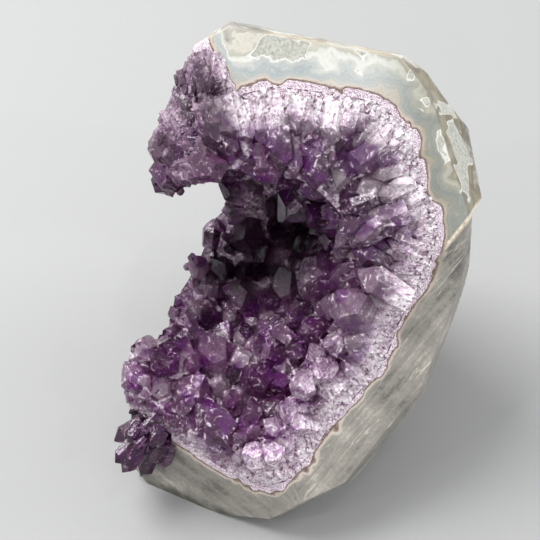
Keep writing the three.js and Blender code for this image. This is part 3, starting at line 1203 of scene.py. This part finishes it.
def quartz_normal(n, place, veil, fine, flake, warped):
    """Growth lines across the faces, sugary grains in milky quartz and flaws in clear quartz."""
    steps = n.add("ShaderNodeCombineXYZ", {
        "X": n.times(n.attribute("from_tip"), 9), "Y": n.times(n.attribute("tone"), 70)})
    lines = n.noise(steps.outputs[0], *GROWTH_LINES)
    grain = n.bump(lines, 0.3, 0.0003, n.bump(fine, 0.25, 0.0003))
    sugary = n.times(n.span(warped, *MILKY_DEPTH, 0.2, 1.1),
                     n.span(n.attribute("milk"), 0, 0.3, 1, 0.25))
    broken = n.times(n.span(veil, 0.42, 0.6), 0.35)
    return n.scattered(n.scattered(grain, flake, sugary), n.cells(place, FLAW_SCALE), broken)


# -------- agate and basalt

def stone_material():
    """Agate in bands round the quartz, inside a crust of basalt."""
    n = Nodes("agate_and_basalt")
    place = n.place()
    broad = n.noise(place, *STONE_BROAD)
    wavy = n.noise(place, *STONE_WAVES)
    fine = n.noise(place, *STONE_FINE)
    sugar = n.noise(place, *SUGAR)
    along = n.attribute("grain", "Vector")
    streak = n.noise(along, *STREAKS)
    band, outer = n.attribute("band"), n.attribute("outer")
    seam = n.span(n.noise(place, *SCALLOPS), 0.36, 0.62, *SEAM_REACH)
    from_seam = n.math("SUBTRACT", band, n.plus(seam, n.times(sugar, 0.5)))
    warped = n.plus(from_seam, n.swing(wavy, 0.5, n.span(band, 1, 8, 1.5, 22)))
    agate = with_windows(n, place, agate_bands(n, broad, fine, warped), fine, warped)
    basalt = streaky_basalt(n, place, broad, along, streak)
    body = with_slab(n, agate, basalt, from_seam, warped)
    body = with_seam(n, body, from_seam, wavy, fine, sugar)
    body = with_crust(n, place, body, wavy, streak, n.times(outer, n.span(warped, 10, 16)))
    pits = n.bump(n.noise(place, *STONE_PITS), 0.3, 0.0005)
    return n.finish(Base_Color=body, Roughness=n.span(outer, 0, 1, 0.34, 0.8), Normal=pits)


def agate_bands(n, broad, fine, warped):
    """Bands and thin pale lines, with painted shade on the right side and duller on the ground
    chamfer.
    """
    agate = n.ramp(n.math("DIVIDE", warped, AGATE_WIDTH), AGATE_BANDS)
    lines = n.math("SINE", n.times(n.plus(warped, n.times(fine, 1.2)), 4.0))
    agate = n.tint(n.times(n.span(lines, 0.6, 1), 0.22), agate, AGATE_LINE)
    agate = n.tint(n.span(broad, 0.35, 0.7, 0, 0.25), agate, AGATE_HAZE)
    # painted shade on the right side of the agate
    agate = n.dull(n.times(n.attribute("right"), 0.75), agate, RIGHT_PAINTED_SHADE)
    agate = n.dull(1.0, agate, AGATE_GREY)
    return n.dull(n.times(n.attribute("chamfer"), 0.75), agate, CHAMFER_TAN)


def with_windows(n, place, agate, fine, warped):
    """Grey patches of crust that the saw met inside the agate, each with a pale rim."""
    patches = n.noise(place, *WINDOWS)
    rim = n.times(n.span(patches, 0.535, 0.545), n.span(warped, 7.8, 8.6))
    inside = n.times(n.span(patches, 0.55, 0.56), n.span(warped, 8.5, 9.5))
    return n.mix(inside, n.tint(n.times(rim, 0.6), agate, WINDOW_RIM), n.ramp(fine, WINDOW_GREYS))


def streaky_basalt(n, place, broad, along, streak):
    speckle = n.noise(place, *SPECKLE)
    shade = n.plus(n.plus(n.times(broad, 0.42), n.times(streak, 0.33)), n.times(speckle, 0.25))
    veins = n.span(n.away(n.noise(along, *VEINS), 0.5), 0.007, 0.0)
    return n.tint(n.times(veins, 0.55), n.ramp(shade, BASALT_GREYS), VEIN_CREAM)


def with_slab(n, agate, basalt, from_seam, warped):
    """Basalt on the lower slab and outside the agate, and a pale painted highlight along the
    slab's edge.
    """
    slab, low = n.attribute("slab"), n.attribute("low")
    past_seam = n.span(from_seam, 1.0, 2.0)
    on_slab = n.times(n.most(n.span(slab, -0.4, 0.4), low), past_seam)
    body = n.mix(n.most(on_slab, n.span(warped, 18, 22)), agate, basalt)
    # painted highlight along the slab's edge, near the sawn front
    edge = n.times(n.span(n.away(slab), 1.3, 0.3), n.math("SUBTRACT", 1.0, low))
    edge = n.times(edge, n.span(n.attribute("front"), -14, -5))
    return n.tint(n.times(edge, past_seam), body, SLAB_EDGE_HIGHLIGHT)


def with_seam(n, body, from_seam, wavy, fine, sugar):
    """The blush and the thin brown line where agate meets quartz, and the quartz inside it."""
    blush = n.times(n.span(from_seam, 2.6, 0.3), n.span(wavy, 0.4, 0.6, 0.2, 0.7))
    body = n.tint(blush, body, SEAM_BLUSH)
    smudged = n.plus(from_seam, n.swing(fine, 0.5, 1.4))
    brown = n.times(n.span(n.away(smudged), 0.95, 0.15), n.span(fine, 0.3, 0.6, 0.6, 1))
    body = n.tint(brown, body, SEAM_BROWN)
    return n.mix(n.span(from_seam, -0.05, -0.35), body, n.ramp(sugar, SEAM_QUARTZ))


def with_crust(n, place, body, wavy, streak, crusted):
    """Darker streaks just above the sawn base, and rough crust on the outer facets."""
    height = n.add("ShaderNodeSeparateXYZ", {"Vector": place}).outputs["Z"]
    height = n.plus(height, n.swing(wavy, 0.5, 14))
    # darker towards the base, in streaks
    dark_near_base = n.times(n.span(height, 6, 1, 0, 0.8), n.span(streak, 0.36, 0.5, 0.35, 1))
    crust = n.ramp(n.noise(place, *CRUST), CRUST_GREYS)
    return n.mix(crusted, n.tint(dark_near_base, body, DARK_NEAR_BASE), crust)


# -------- floor, lights and camera

def floor_material():
    n = Nodes("studio_floor")
    return n.finish(Base_Color=linear(FLOOR_GREY), Roughness=FLOOR_ROUGHNESS)


def studio():
    """A pale floor, an even sky and soft lights."""
    bpy.ops.mesh.primitive_plane_add(size=FLOOR_SIZE)
    floor = bpy.context.object
    floor.name = "floor"
    floor.data.materials.append(floor_material())
    world = bpy.data.worlds.new("studio")
    world.use_nodes = True
    world.node_tree.nodes["Background"].inputs["Color"].default_value = SKY
    world.node_tree.nodes["Background"].inputs["Strength"].default_value = SKY_STRENGTH
    bpy.context.scene.world = world
    for light in LIGHTS:
        softbox(*light)
    bpy.context.scene.view_settings.view_transform = "Standard"
    bpy.context.scene.view_settings.look = "Medium High Contrast"


def softbox(name, place, size, power):
    light = bpy.data.lights.new(name, "AREA")
    light.shape = "SQUARE"
    light.size = size
    light.energy = power
    lamp = bpy.data.objects.new(name, light)
    lamp.location = place
    lamp.rotation_euler = (Vector(place) - LIGHTS_AIM).to_track_quat("Z", "Y").to_euler()
    show(lamp)


def camera():
    """Looks straight into the mouth, level across it."""
    lens = bpy.data.cameras.new("camera")
    lens.lens = LENS
    lens.sensor_width = SENSOR
    eye = bpy.data.objects.new("camera", lens)
    eye.location = to_metres @ EYE
    eye.rotation_euler = (math.radians(90 - MOUTH_RISE), 0, 0)
    show(eye)
    bpy.context.scene.camera = eye


camera()
studio()
crystal_lining(amethyst_material())
ground_rind(stone_material())
